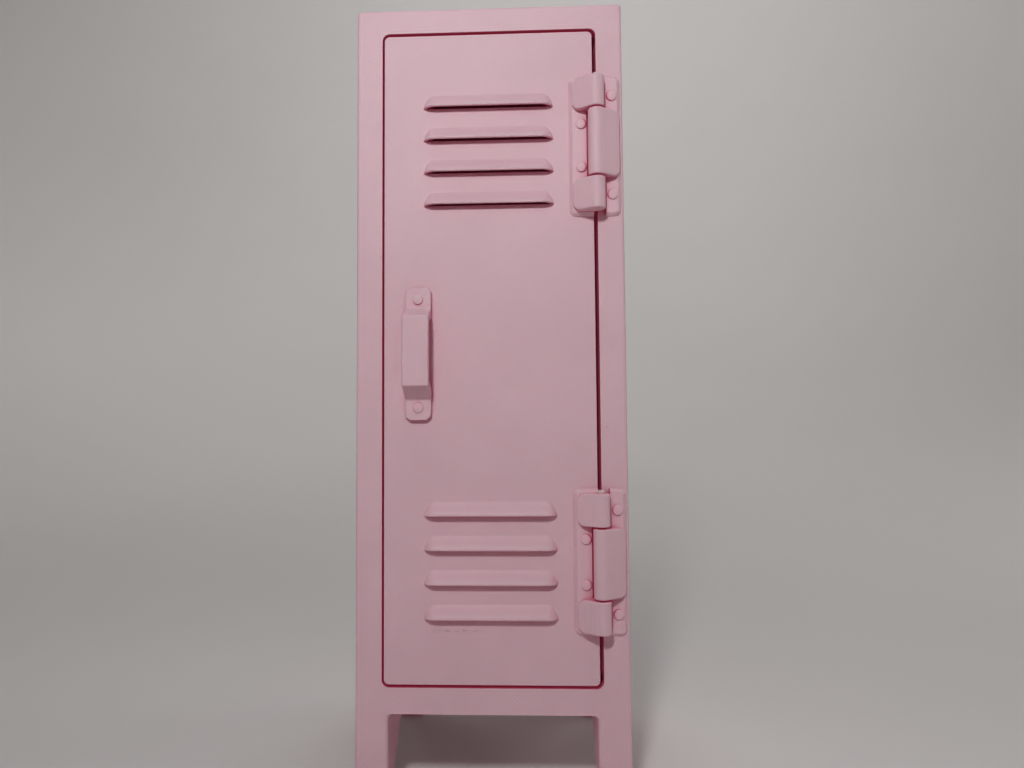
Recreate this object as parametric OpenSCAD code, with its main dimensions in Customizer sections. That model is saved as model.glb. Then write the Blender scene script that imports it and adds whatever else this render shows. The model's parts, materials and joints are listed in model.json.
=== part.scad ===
// Miniature free-standing locker cabinet with one louvred door.
// Body coordinates used inside the modules: x from the cabinet's centre line, y from the
// front face into the cabinet, z up from the underside of the body.  place() moves them so
// that the origin is the middle of the footprint, at the height of the feet.

/* [Body] */
// Width of the body
body_w = 38; // [36:0.5:46]
// Depth of the body
body_d = 38; // [34:0.5:46]
// Height of the body without its legs
body_h = 99.7; // [96:0.1:120]
// Thickness of the side walls, top, floor and back
wall_t = 1.6; // [1.2:0.1:1.8]
// Thickness of the front face frame
frame_t = 1.6; // [1.2:0.1:2]
// Width of the two upright stiles of the face frame
stile_w = 3.7; // [3.6:0.05:4]
// Height of the top and bottom rails of the face frame
rail_h = 3.55; // [3:0.05:5]
// Corner radius of the door opening
opening_r = 1; // [0.6:0.1:1.5]

/* [Door] */
// Thickness of the door panel
door_t = 1.6; // [1.4:0.1:1.8]
// Gap along the free edge of the door
free_gap = 0.28; // [0.25:0.01:0.4]
// Gap along the hinge edge of the door
hinge_gap = 0.5; // [0.45:0.05:0.7]
// Gap above and below the door
end_gap = 0.4; // [0.3:0.05:0.6]
// Corner radius of the door panel
door_r = 0.7; // [0.4:0.1:1]

/* [Louvres] */
// Number of louvres in each of the two groups
louvre_count = 4; // [2:1:4]
// Height from one louvre to the next
louvre_pitch = 4.7; // [4:0.1:5]
// Height of the lowest lip of the lower group
lower_lip_z = 12.98; // [12:0.02:14]
// Height of the lowest lip of the upper group
upper_lip_z = 70.8; // [68:0.1:72]
// Half length of a hood where it meets the door, from tip to middle
hood_tip = 9.25; // [8:0.05:9.5]
// Half length of a hood along its lip
hood_corner = 8.18; // [7:0.02:8.4]
// How far a lip stands out from the door
hood_out = 1.25; // [1.2:0.05:1.8]
// Height of a hood above its lip's lower edge
hood_rise = 1.55; // [1.4:0.05:1.8]
// Thickness of a hood's wall
hood_t = 0.35; // [0.3:0.05:0.4]

/* [Hinges] */
// Height of each hinge's middle above the floor or below the top of the body
hinge_inset = 20.8; // [18:0.1:24]
// Height of a hinge's leaves
leaf_h = 20; // [19:0.5:22]
// Thickness of a leaf
leaf_t = 0.6; // [0.5:0.05:0.7]
// Reach of the door leaf from the hinge axis
door_leaf_w = 3.7; // [3.5:0.05:4]
// Reach of the frame leaf from the hinge axis
frame_leaf_w = 3.45; // [3.3:0.05:3.6]
// Distance of the hinge axis from the inner side of the hinge stile, towards the door
axis_in = 0.18; // [0.15:0.01:0.25]
// Distance of the hinge axis in front of the face frame
axis_out = 1.68; // [1.65:0.01:1.8]
// Radius of the knuckles
knuckle_r = 1.17; // [1.1:0.01:1.2]
// Length of the middle knuckle
middle_knuckle = 9.4; // [8:0.1:9.6]
// Gap between neighbouring knuckles
knuckle_gap = 0.25; // [0.2:0.05:0.4]
// Length of the whole knuckle stack
stack_h = 18.85; // [18:0.05:19]
// Reach of the knuckle gussets from the hinge axis
gusset_w = 3.3; // [3.1:0.05:3.4]
// Radius of the hinge pins
pin_r = 0.5; // [0.4:0.05:0.6]
// Length of pin that stands out of the top knuckle
pin_proud = 0.5; // [0.2:0.1:0.5]
// Distance of a door leaf's rivets from the hinge axis
door_rivet_x = 2.07; // [2.05:0.01:2.3]
// Half distance between the two rivets of a door leaf
door_rivet_z = 3.1; // [2.5:0.1:3.5]
// Distance of a frame leaf's rivets from the hinge axis
frame_rivet_x = 2.26; // [2.1:0.01:2.4]
// Half distance between the two rivets of a frame leaf
frame_rivet_z = 7.05; // [6.5:0.05:7.5]

/* [Rivets] */
// Radius of the rivet heads
rivet_r = 0.75; // [0.6:0.05:0.8]
// Height of the rivet heads
rivet_head_h = 0.4; // [0.3:0.05:0.45]
// Radius of the rivet shanks
shank_r = 0.4; // [0.3:0.05:0.45]

/* [Handle] */
// Sideways place of the handle from the cabinet's centre line
handle_x = -10.1; // [-11:0.1:-9]
// Height of the handle's middle above the underside of the body
handle_z = 49.7; // [45:0.1:55]
// Length of the handle over its feet
handle_h = 18.6; // [17:0.1:22]
// Width of the handle strap
handle_w = 3.7; // [3:0.1:4]
// How far the grip stands out from the door
handle_out = 3.61; // [3.2:0.01:4.5]
// Thickness of the feet
foot_t = 0.8; // [0.6:0.1:1]
// Thickness of the grip
grip_t = 1.1; // [0.9:0.1:1.2]
// Half distance between the outer bases of the two risers
riser_base = 6.35; // [6:0.05:6.6]
// Half distance between the two rivets of the handle
handle_rivet_z = 7.6; // [7.4:0.05:7.8]
// Half length of the grip's front face
grip_half = 4.65; // [4.2:0.05:5]

/* [Legs] */
// Height of the legs
leg_h = 13; // [11:0.5:18]
// Width of each leg, seen from the front
leg_w = 4.58; // [4:0.02:5.5]
// Depth of each leg where it meets the body
leg_top_d = 14.55; // [12:0.05:15]
// Depth of each leg at its foot
leg_foot_d = 4.6; // [4:0.1:6]
// How much a leg narrows for each millimetre down
leg_taper = 1.05; // [1:0.01:1.1]
// Radius between a leg and the underside of the body
leg_fillet = 0.9; // [0.5:0.1:1.2]

/* [Inside] */
// Height of the shelf's underside above the underside of the body
shelf_z = 68; // [60:0.5:69]
// Thickness of the shelf
shelf_t = 1.2; // [1:0.1:1.6]
// Width and height of the ledges that carry the shelf
ledge = 1.2; // [1:0.1:1.6]
// Distance from the front face to the front of the shelf
shelf_front = 5; // [4.5:0.5:8]
// Width of the door stop
stop_w = 6.2; // [6:0.1:7]
// Height of the door stop
stop_h = 12; // [8:0.5:16]
// Depth of the door stop
stop_d = 2.2; // [2:0.1:3]
// Radius of the catch magnets
magnet_r = 1.25; // [1:0.05:1.4]

/* [Hidden] */
$fn = 48;

cut = 1;                                    // how far a cutting shape runs past a face
weld = 0.1;                                 // how far two shapes of one solid run into each other
running_gap = 0.05;                         // radial clearance of a pin in the middle knuckle
snug_gap = 0.01;                            // radial clearance of a pin or magnet in its seat
rivet_gap = 0.02;                           // radial clearance of a rivet in its hole
stop_gap = 0.15;                            // gap between the closed door and its stop
relief = 1.3;                               // leaf edge to hinge axis beside the other knuckle
gusset_step = 0.3;                          // height of a gusset's outer end above its leaf
inset_grip = 0.75;                          // inner corner of a riser below the grip's corner
inset_base = 1.3;                           // inner corner of a riser inside its outer base
louvre_end = 0.5;                           // solid length at each tip of a louvre
magnet_edge = 0.75;                         // stop material between its magnet and its free side
leaf_r = 0.85;                              // corner radius of a hinge leaf
gusset_r = 1.1;                             // corner radius of a gusset
return_t = 1.2;                              // thickness of the hinge stile's return
return_d = 4.8;                              // its depth behind the frame's front
foot_r = 0.6;                               // corner radius of the handle's feet
lip_h = 0.25;                               // flat front of a louvre's lip
door_magnet_t = 0.8;
frame_magnet_t = 1.2;

front_y = (handle_out - body_d) / 2;        // the face frame's front in the part's frame
inner_x = body_w / 2 - wall_t;              // inner face of the side walls
open_x = body_w / 2 - stile_w;              // side of the door opening
axis_x = open_x - axis_in;                  // the hinge axis
door_x0 = -open_x + free_gap;
door_x1 = open_x - hinge_gap;
door_z0 = rail_h + end_gap;
door_z1 = body_h - rail_h - end_gap;
louvre_x = (door_x0 + door_x1) / 2;
hinge_heights = [hinge_inset, body_h - hinge_inset];
handle_mid = [handle_x, 0, handle_z];
stop_y = door_t + stop_gap;
stop_z0 = handle_z - stop_h / 2;
magnet_x = -inner_x + stop_w - magnet_r - magnet_edge;
leg_narrow_z = -(leg_top_d - leg_foot_d) / leg_taper;

pink = [0.90, 0.72, 0.76];
pin_white = [0.88, 0.86, 0.84];
magnet_grey = [0.62, 0.62, 0.64];

// From body coordinates to the part's frame.
module place() {
    translate([0, front_y, leg_h]) children();
}

// A flat shape drawn in x and z, from the plane y = y0 back to y = y0 + t.
module upright(y0, t) {
    translate([0, y0 + t, 0]) rotate([90, 0, 0]) linear_extrude(t) children();
}

// A flat shape drawn in y and z, from x = x0 to x = x0 + w.
module sideways(x0, w) {
    translate([x0, 0, 0]) rotate([90, 0, 90]) linear_extrude(w) children();
}

// A round bar or hole along y, from y0 to y1.
module bar_y(x, z, r, y0, y1) {
    translate([x, y1, z]) rotate([90, 0, 0]) cylinder(r = r, h = y1 - y0);
}

module rounded_rect(x0, x1, z0, z1, r) {
    translate([x0 + r, z0]) square([x1 - x0 - 2 * r, z1 - z0]);
    translate([x0, z0 + r]) square([x1 - x0, z1 - z0 - 2 * r]);
    for (x = [x0 + r, x1 - r], z = [z0 + r, z1 - r])
        translate([x, z]) circle(r);
}

module box(x0, x1, y0, y1, z0, z1) {
    translate([x0, y0, z0]) cube([x1 - x0, y1 - y0, z1 - z0]);
}

// ---- Rivets ----

// A domed rivet with the underside of its head at y = seat and its shank running to y = end.
module rivet(x, z, seat, end) {
    dome_r = (rivet_r * rivet_r + rivet_head_h * rivet_head_h) / (2 * rivet_head_h);
    bar_y(x, z, shank_r, seat - weld, end);
    intersection() {
        translate([x, seat - rivet_head_h + dome_r, z]) sphere(dome_r);
        bar_y(x, z, dome_r, seat - rivet_head_h, seat);
    }
}

module rivet_hole(x, z) {
    bar_y(x, z, shank_r + rivet_gap, -leaf_t - foot_t, door_t + frame_t);
}

module door_rivet_places() {
    for (hinge_z = hinge_heights, side = [-1, 1])
        translate([axis_x - door_rivet_x, 0, hinge_z + side * door_rivet_z]) children();
}

module frame_rivet_places() {
    for (hinge_z = hinge_heights, side = [-1, 1])
        translate([axis_x + frame_rivet_x, 0, hinge_z + side * frame_rivet_z]) children();
}

module handle_rivet_places() {
    for (side = [-1, 1])
        translate(handle_mid + [0, 0, side * handle_rivet_z]) children();
}

// ---- Cabinet body ----

// The front ring, with a return behind its hinge stile that closes the view through the gap
// beside the door.
module face_frame() {
    color(pink) place() {
        difference() {
            union() {
                box(-body_w / 2, body_w / 2, 0, frame_t, 0, body_h);
                box(open_x, open_x + return_t, weld, return_d,
                    rail_h + opening_r, body_h - rail_h - opening_r);
            }
            upright(-cut, frame_t + 2 * cut)
                rounded_rect(-open_x, open_x, rail_h, body_h - rail_h, opening_r);
            frame_rivet_places() rivet_hole(0, 0);
        }
    }
}

module side_wall(side) {
    color(pink) place()
        translate([side * (inner_x + wall_t / 2), 0, 0])
            box(-wall_t / 2, wall_t / 2, frame_t, body_d - wall_t, 0, body_h);
}

module level_panel(z0) {
    color(pink) place()
        box(-inner_x, inner_x, frame_t, body_d - wall_t, z0, z0 + wall_t);
}

module back_panel() {
    color(pink) place()
        box(-body_w / 2, body_w / 2, body_d - wall_t, body_d, 0, body_h);
}

// Side view of a front leg: full depth under the body, then narrowing to the foot.
module leg_outline() {
    polygon([
        [0, 0], [leg_top_d, 0], [leg_foot_d, leg_narrow_z],
        [leg_foot_d, -leg_h], [0, -leg_h]
    ]);
}

// The small concave round between a leg's inner side and the underside of the body.
module leg_corner() {
    upright(0, leg_top_d - 2 * leg_fillet) difference() {
        translate([-weld, -leg_fillet]) square([leg_fillet + weld, leg_fillet]);
        translate([leg_fillet, -leg_fillet]) circle(leg_fillet);
    }
}

// The front left leg; the others are its mirror images about the cabinet's two middle planes.
module front_left_shape() {
    sideways(-body_w / 2, leg_w) leg_outline();
    translate([leg_w - body_w / 2, 0, 0]) leg_corner();
}

module leg(right, rear) {
    color(pink) place()
        mirror([right ? 1 : 0, 0, 0])
            translate([0, rear ? body_d : 0, 0]) mirror([0, rear ? 1 : 0, 0])
                front_left_shape();
}

// ---- Inside the cabinet ----

module shelf() {
    color(pink) place()
        box(-inner_x, inner_x, shelf_front, body_d - wall_t, shelf_z, shelf_z + shelf_t);
}

module shelf_ledges() {
    color(pink) place() for (side = [-1, 1])
        translate([side * (inner_x - ledge / 2), 0, 0])
            box(-ledge / 2, ledge / 2, shelf_front + 3, body_d - wall_t, shelf_z - ledge, shelf_z);
}

// A block on the left wall that reaches behind the door's free edge, with a magnet in it.
module door_stop() {
    color(pink) place() difference() {
        union() {
            translate([-inner_x, stop_y, stop_z0]) cube([stop_w, stop_d, stop_h]);
            translate([-inner_x, frame_t, stop_z0])
                cube([inner_x - open_x - weld, stop_y + weld - frame_t, stop_h]);
        }
        bar_y(magnet_x, handle_z, magnet_r + snug_gap, stop_y - cut, stop_y + frame_magnet_t);
    }
}

module frame_magnet() {
    color(magnet_grey) place()
        bar_y(magnet_x, handle_z, magnet_r, stop_y, stop_y + frame_magnet_t);
}

// ---- Door ----

// The space between the plan outline and the front outline of a louvre, as an end-tapered
// body.  side_view is the outline in y and z; tip and corner are half lengths at the door
// and along the lip.
module tapered_ends(tip, corner, out, rise, back) {
    intersection() {
        sideways(-tip, 2 * tip) children();
        translate([0, 0, -cut]) linear_extrude(rise + 2 * cut)
            polygon([
                [-tip, back], [-tip, 0], [-corner, -out],
                [corner, -out], [tip, 0], [tip, back]
            ]);
        upright(-out - cut, out + back + 2 * cut)
            polygon([
                [-tip, -cut], [tip, -cut], [tip, 0],
                [corner, rise], [-corner, rise], [-tip, 0]
            ]);
    }
}

// The solid outside of a louvre's hood, with its lip's lower edge at z = 0.
module hood() {
    root = 0.3;
    tapered_ends(hood_tip, hood_corner, hood_out, hood_rise, root)
        polygon([
            [root, 0], [-hood_out, 0], [-hood_out, lip_h], [0, hood_rise], [root, hood_rise]
        ]);
}

// The air way: up under the lip and straight back through the door.
module air_way() {
    slope = (hood_rise - lip_h) / hood_out;
    slot_h = hood_rise - hood_t * sqrt(1 + slope * slope);
    out = hood_out - hood_t;
    tapered_ends(hood_tip - louvre_end, hood_corner - hood_t, out, slot_h, door_t + cut)
        polygon([
            [-out, -cut], [0, -cut], [0, 0], [door_t + cut, 0], [door_t + cut, slot_h],
            [0, slot_h], [-out, slot_h - out * slope]
        ]);
}

module louvre_places() {
    for (lowest = [lower_lip_z, upper_lip_z], i = [0 : louvre_count - 1])
        translate([louvre_x, 0, lowest + i * louvre_pitch]) children();
}

module door_panel() {
    color(pink) place() difference() {
        union() {
            upright(0, door_t) rounded_rect(door_x0, door_x1, door_z0, door_z1, door_r);
            louvre_places() hood();
        }
        louvre_places() air_way();
        door_rivet_places() rivet_hole(0, 0);
        handle_rivet_places() rivet_hole(0, 0);
        bar_y(magnet_x, handle_z, magnet_r + snug_gap, door_t - door_magnet_t, door_t + cut);
    }
}

module door_magnet() {
    color(magnet_grey) place()
        bar_y(magnet_x, handle_z, magnet_r, door_t - door_magnet_t, door_t);
}

// Side view of the strap handle: two feet, two sloping risers and the grip.
module handle_outline() {
    inner_grip = grip_half - inset_grip;
    inner_base = riser_base - inset_base;
    end = handle_h / 2;
    polygon([
        [0, -end], [-foot_t, -end], [-foot_t, -riser_base], [-handle_out, -grip_half],
        [-handle_out, grip_half], [-foot_t, riser_base], [-foot_t, end], [0, end],
        [0, inner_base], [grip_t - handle_out, inner_grip],
        [grip_t - handle_out, -inner_grip], [0, -inner_base]
    ]);
}

module handle() {
    color(pink) place() difference() {
        intersection() {
            translate(handle_mid) sideways(-handle_w / 2, handle_w) handle_outline();
            upright(-handle_out - cut, handle_out + 2 * cut)
                rounded_rect(handle_x - handle_w / 2, handle_x + handle_w / 2,
                    handle_z - handle_h / 2, handle_z + handle_h / 2, foot_r);
        }
        handle_rivet_places() rivet_hole(0, 0);
    }
}

// ---- Hinges, drawn with the hinge axis at x = 0 and the hinge's middle at z = 0 ----

// Section of a knuckle and the gusset that runs from it down to a leaf on the -x side.
// The gusset's front leaves the round barrel along a tangent.
module knuckle_section(leaf_edge) {
    end = [-gusset_w, -leaf_t - gusset_step];
    from_axis = end - [0, -axis_out];
    turn = atan2(from_axis[1], from_axis[0]) + acos(knuckle_r / norm(from_axis));
    touch = [knuckle_r * cos(turn), knuckle_r * sin(turn) - axis_out];
    translate([0, -axis_out]) circle(knuckle_r);
    polygon([touch, end, [-gusset_w, -leaf_t / 2], [leaf_edge, -leaf_t / 2], [0, -axis_out]]);
}

// A knuckle with its gusset, from z0 to z1, with the gusset's outer corners rounded.
module knuckle(z0, z1, leaf_edge) {
    intersection() {
        translate([0, 0, z0]) linear_extrude(z1 - z0) knuckle_section(leaf_edge);
        upright(-axis_out - knuckle_r - cut, axis_out + knuckle_r + cut)
            rounded_rect(-gusset_w, knuckle_r + 2 * gusset_r, z0, z1, gusset_r);
    }
}

module pin_bore(r) {
    translate([0, -axis_out, -leaf_h]) cylinder(r = r, h = 2 * leaf_h);
}

// The leaf on the door: a knuckle at each end, and its edge cut back beside the middle one.
module door_leaf() {
    edge = door_x1 - axis_x;
    half_notch = middle_knuckle / 2 + knuckle_gap;
    difference() {
        union() {
            difference() {
                upright(-leaf_t, leaf_t) union() {
                    rounded_rect(-door_leaf_w, edge, -leaf_h / 2, leaf_h / 2, leaf_r);
                    translate([edge - leaf_r, -leaf_h / 2]) square([leaf_r, leaf_h]);
                }
                box(-relief, axis_in, -leaf_t - cut, cut, -half_notch, half_notch);
            }
            knuckle(half_notch, stack_h / 2, edge);
            knuckle(-stack_h / 2, -half_notch, edge);
        }
        pin_bore(pin_r + snug_gap);
    }
}

// The leaf on the face frame: one knuckle in the middle, and its edge cut back beside the
// two others.
module frame_leaf() {
    difference() {
        union() {
            upright(-leaf_t, leaf_t) union() {
                rounded_rect(relief, frame_leaf_w, -leaf_h / 2, leaf_h / 2, leaf_r);
                translate([relief, -leaf_h / 2]) square([leaf_r, leaf_h]);
                translate([axis_in, -middle_knuckle / 2])
                    square([relief, middle_knuckle]);
            }
            mirror([1, 0, 0]) knuckle(-middle_knuckle / 2, middle_knuckle / 2, -axis_in);
        }
        pin_bore(pin_r + running_gap);
    }
}

module upper_hinge() {
    translate([axis_x, 0, hinge_heights[1]]) children();
}

module lower_hinge() {
    translate([axis_x, 0, hinge_heights[0]]) children();
}

// The pin ends flush with the lowest knuckle and stands a little proud of the top one.
module hinge_pin() {
    translate([0, -axis_out, -stack_h / 2]) cylinder(r = pin_r, h = stack_h + pin_proud);
}

module door_leaf_at(upper) {
    color(pink) place() difference() {
        if (upper) upper_hinge() door_leaf();
        else lower_hinge() door_leaf();
        door_rivet_places() rivet_hole(0, 0);
    }
}

module frame_leaf_at(upper) {
    color(pink) place() difference() {
        if (upper) upper_hinge() frame_leaf();
        else lower_hinge() frame_leaf();
        frame_rivet_places() rivet_hole(0, 0);
    }
}

module frame_leaf_rivets() {
    color(pink) place() frame_rivet_places() rivet(0, 0, -leaf_t, frame_t);
}

module door_leaf_rivets() {
    color(pink) place() door_rivet_places() rivet(0, 0, -leaf_t, door_t);
}

module handle_rivets() {
    color(pink) place() handle_rivet_places() rivet(0, 0, -foot_t, door_t);
}

face_frame();
side_wall(-1);  // left_wall
side_wall(1);  // right_wall
back_panel();
level_panel(body_h - wall_t);  // top_panel
level_panel(0);  // floor_panel
leg(false, false);  // front_left_leg
leg(true, false);  // front_right_leg
leg(false, true);  // rear_left_leg
leg(true, true);  // rear_right_leg
shelf();
shelf_ledges();
door_stop();
frame_magnet();
frame_leaf_at(true);  // upper_frame_leaf
frame_leaf_at(false);  // lower_frame_leaf
frame_leaf_rivets();
door_panel();
door_magnet();
handle();
handle_rivets();
door_leaf_at(true);  // upper_door_leaf
door_leaf_at(false);  // lower_door_leaf
door_leaf_rivets();
color(pin_white) place() upper_hinge() hinge_pin();  // upper_hinge_pin
color(pin_white) place() lower_hinge() hinge_pin();  // lower_hinge_pin
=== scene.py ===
"""Looks of the miniature printed locker: rounded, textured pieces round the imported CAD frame."""
import json
from math import acos, atan2, cos, pi, radians, sin, sqrt, tan

import bmesh
import bpy
from mathutils import Matrix, Vector


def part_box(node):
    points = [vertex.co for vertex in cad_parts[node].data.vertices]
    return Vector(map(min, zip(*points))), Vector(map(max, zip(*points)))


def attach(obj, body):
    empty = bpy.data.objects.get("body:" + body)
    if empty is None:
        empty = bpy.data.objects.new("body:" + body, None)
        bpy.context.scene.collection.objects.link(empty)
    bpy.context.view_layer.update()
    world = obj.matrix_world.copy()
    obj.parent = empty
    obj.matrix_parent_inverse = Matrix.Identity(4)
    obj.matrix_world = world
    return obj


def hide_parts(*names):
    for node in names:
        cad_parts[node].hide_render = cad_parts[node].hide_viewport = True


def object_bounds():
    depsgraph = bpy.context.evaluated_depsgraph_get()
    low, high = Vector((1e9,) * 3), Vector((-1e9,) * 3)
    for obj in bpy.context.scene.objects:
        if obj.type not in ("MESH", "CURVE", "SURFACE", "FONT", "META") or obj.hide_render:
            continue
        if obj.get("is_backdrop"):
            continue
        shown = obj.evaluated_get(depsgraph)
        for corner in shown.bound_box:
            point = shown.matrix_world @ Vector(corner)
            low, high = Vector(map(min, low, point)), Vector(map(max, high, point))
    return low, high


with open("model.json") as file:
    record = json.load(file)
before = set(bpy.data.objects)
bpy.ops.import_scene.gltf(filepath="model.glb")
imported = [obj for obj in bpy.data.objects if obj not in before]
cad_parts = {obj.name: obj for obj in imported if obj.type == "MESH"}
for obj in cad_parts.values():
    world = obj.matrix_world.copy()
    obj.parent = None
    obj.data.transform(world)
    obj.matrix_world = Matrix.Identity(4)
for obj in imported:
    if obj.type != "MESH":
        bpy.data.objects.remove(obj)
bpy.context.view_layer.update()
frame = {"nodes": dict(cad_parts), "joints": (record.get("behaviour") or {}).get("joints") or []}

# All shapes are worked out in millimetres in the CAD frame and scaled to metres at the end.
MM = 0.001

# ---------------------------------------------------------------- measures of the CAD frame


def box_mm(node):
    """Lowest and highest corner of a CAD node, in millimetres."""
    low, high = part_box(node)
    return low / MM, high / MM


body_low, body_high = box_mm("face_frame")
back_high = box_mm("back_panel")[1]
door_low, door_high = box_mm("door_panel")
FRONT = body_low.y
BODY_Z = body_low.z
DOOR_BACK = door_high.y
HALF_W = body_high.x

hinge = frame["joints"][0]
AXIS_X = hinge["pos_m"][0] / MM
AXIS_Y = hinge["pos_m"][1] / MM
AXIS_OUT = FRONT - AXIS_Y
hinge_heights = {
    level: sum(c.z for c in box_mm(f"{level}_frame_leaf")) / 2 for level in ("upper", "lower")
}

# Measures that no box gives: the same values as in the CAD source.
STILE_W = 3.7
RAIL_H = 3.55
HINGE_GAP = 0.5
OPENING_R = 1.0
DOOR_R = 0.7
LOUVRE_COUNT = 4
LOUVRE_PITCH = 4.7
LOUVRE_LIPS = (12.98, 70.8)
HOOD_TIP = 9.25
HOOD_OUT = 1.25
HOOD_RISE = 1.55
HOOD_T = 0.35
LIP_H = 0.25
FRAME_T = 1.6
LEAF_T = 0.6
KNUCKLE_R = 1.17
MIDDLE_KNUCKLE = 9.4
KNUCKLE_GAP = 0.25
STACK_H = 18.85
GUSSET_W = 3.3
GUSSET_STEP = 0.3
RELIEF = 1.3
LEAF_R = 0.85
GUSSET_R = 1.1
FOOT_R = 0.6
RETURN_T = 1.2
PIN_R = 0.5
PIN_PLAY = 0.05
FOOT_T = 0.8
GRIP_T = 1.1
RISER_BASE = 6.35
GRIP_HALF = 4.65
INSET_BASE = 1.3         # a riser's inner corner inside its outer base
INSET_GRIP = 0.75        # and below the grip's corner
LEG_W = 4.58
LEG_TAPER = 1.05
LEG_TOP_D = 14.55
LEG_FOOT_D = 4.6
LEG_FILLET = 0.9
RIVET_R = 0.75

# Here the visible shape differs a little from the CAD solids: longer tips on the louvres,
# lower rivet heads, and a grip whose upper end sits higher than its lower end.
HOOD_CORNER = 7.75
TIP_WALL = 0.4           # from the air way's tip to the hood's
CORNER_WALL = 0.3
RIVET_HEAD = 0.26
GRIP_RISE = 0.35

# How the print rounds its edges.
FRAME_EDGE = 0.5
OUTER_EDGE = 0.4
PANEL_EDGE = 0.22
SMALL_EDGE = 0.16
SEAM_EDGE = 0.12
SEAM = 0.04
SHARP = 40               # degrees between two faces from which their shared edge is sharp

# ---------------------------------------------------------------- flat outlines


def rounded(points, radii, steps=5):
    """A closed outline with an arc at each corner whose radius isn't 0."""
    outline = []
    count = len(points)
    for i, corner in enumerate(points):
        corner = Vector(corner)
        if not radii[i]:
            outline.append(corner)
            continue
        to_last = (Vector(points[i - 1]) - corner).normalized()
        to_next = (Vector(points[(i + 1) % count]) - corner).normalized()
        half = to_last.angle(to_next) / 2
        reach = radii[i] / tan(half)
        centre = corner + (to_last + to_next).normalized() * radii[i] / sin(half)
        first = corner + to_last * reach - centre
        last = corner + to_next * reach - centre
        for k in range(steps + 1):
            way = first.lerp(last, k / steps).normalized() * radii[i]
            outline.append(centre + way)
    return outline


def rounded_rect(x0, x1, z0, z1, radii, steps=5):
    """Counter-clockwise from the lower left corner; radii go round the same way."""
    return rounded([(x0, z0), (x1, z0), (x1, z1), (x0, z1)], radii, steps)


SHORTEST = 0.4           # keeps the mitre of a very sharp corner from running far out


def inset(outline, distance):
    """The counter-clockwise outline moved inwards, with mitred corners."""
    if not distance:
        return list(outline)
    moved = []
    for i, point in enumerate(outline):
        before = (point - outline[i - 1]).normalized()
        after = (outline[(i + 1) % len(outline)] - point).normalized()
        normal = Vector((-before.y - after.y, before.x + after.x)).normalized()
        along = normal.dot(Vector((-before.y, before.x)))
        moved.append(point + normal * distance / max(along, SHORTEST))
    return moved


def edge_steps(radius, steps=4):
    """(depth below the face, inset of the outline) from the side up to the face."""
    turns = [k / steps * pi / 2 for k in range(steps + 1)]
    return [(radius * (1 - sin(a)), radius * (1 - cos(a))) for a in turns]


# ---------------------------------------------------------------- solids


def loft(bm, rings, closed=False, caps=True):
    """Joins rings of equally many points with quads, with a face over each open end."""
    made = [[bm.verts.new(p) for p in ring] for ring in rings]
    pairs = list(zip(made, made[1:]))
    if closed:
        pairs.append((made[-1], made[0]))
    for low, high in pairs:
        for i in range(len(low)):
            bm.faces.new((low[i - 1], low[i], high[i], high[i - 1]))
    if caps and not closed:
        bm.faces.new(list(reversed(made[0])))
        bm.faces.new(made[-1])
    return bm


def plate(outline, y_back, y_front, edge, back_edge=SEAM):
    """A flat outline in x and z, from y_back forwards to y_front, with rounded edges."""
    bm = bmesh.new()
    rings = [(y_back - d, inset(outline, i)) for d, i in reversed(edge_steps(back_edge, 2))]
    rings += [(y_front + d, inset(outline, i)) for d, i in edge_steps(edge)]
    return loft(bm, [[(p.x, y, p.y) for p in ring] for y, ring in rings])


def turned(profile, x, y, z, axis, sides=40):
    """A solid of revolution: profile gives (distance along the axis, radius)."""
    bm = bmesh.new()
    rings = []
    for along, radius in profile:
        ring = []
        for k in range(sides):
            a = 2 * pi * k / sides
            if axis == "z":
                ring.append((x + radius * cos(a), y + radius * sin(a), z + along))
            else:
                ring.append((x + radius * cos(a), y - along, z + radius * sin(a)))
        rings.append(ring)
    return loft(bm, rings)


def panel(low, high, edge, corner_edges=()):
    """A box with finely broken edges; the edges that corner_edges picks are rounded by edge."""
    bm = bmesh.new()
    bmesh.ops.create_cube(bm, size=1)
    for vert in bm.verts:
        vert.co = Vector((high[k] if vert.co[k] > 0 else low[k]) for k in range(3))
    picked = [e for e in bm.edges if any(test(e) for test in corner_edges)]
    if picked:
        bmesh.ops.bevel(bm, geom=picked, offset=edge, segments=4, profile=0.5, affect="EDGES")
    square = radians(60)
    rest = [e for e in bm.edges if e.calc_face_angle(0) > square]
    bmesh.ops.bevel(bm, geom=rest, offset=SEAM, segments=1, affect="EDGES")
    return bm


def mesh_object(name, bm):
    """The bmesh as an object in metres, with its faces turned outwards."""
    bmesh.ops.recalc_face_normals(bm, faces=bm.faces)
    mesh = bpy.data.meshes.new(name)
    bm.to_mesh(mesh)
    bm.free()
    mesh.transform(Matrix.Scale(MM, 4))
    piece = bpy.data.objects.new(name, mesh)
    bpy.context.scene.collection.objects.link(piece)
    return piece


def apply_modifiers(piece):
    """Turns the piece's modifiers into plain mesh."""
    done = piece.evaluated_get(bpy.context.evaluated_depsgraph_get())
    mesh = bpy.data.meshes.new_from_object(done)
    piece.modifiers.clear()
    old = piece.data
    piece.data = mesh
    bpy.data.meshes.remove(old)


def boolean(piece, tools, operation):
    """Joins or cuts piece with the tools, applies the result and removes the tools."""
    for tool in tools:
        modifier = piece.modifiers.new("join", "BOOLEAN")
        modifier.operation = operation
        modifier.solver = "EXACT"
        modifier.object = tool
    apply_modifiers(piece)
    for tool in tools:
        bpy.data.objects.remove(tool)
    return piece


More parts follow.
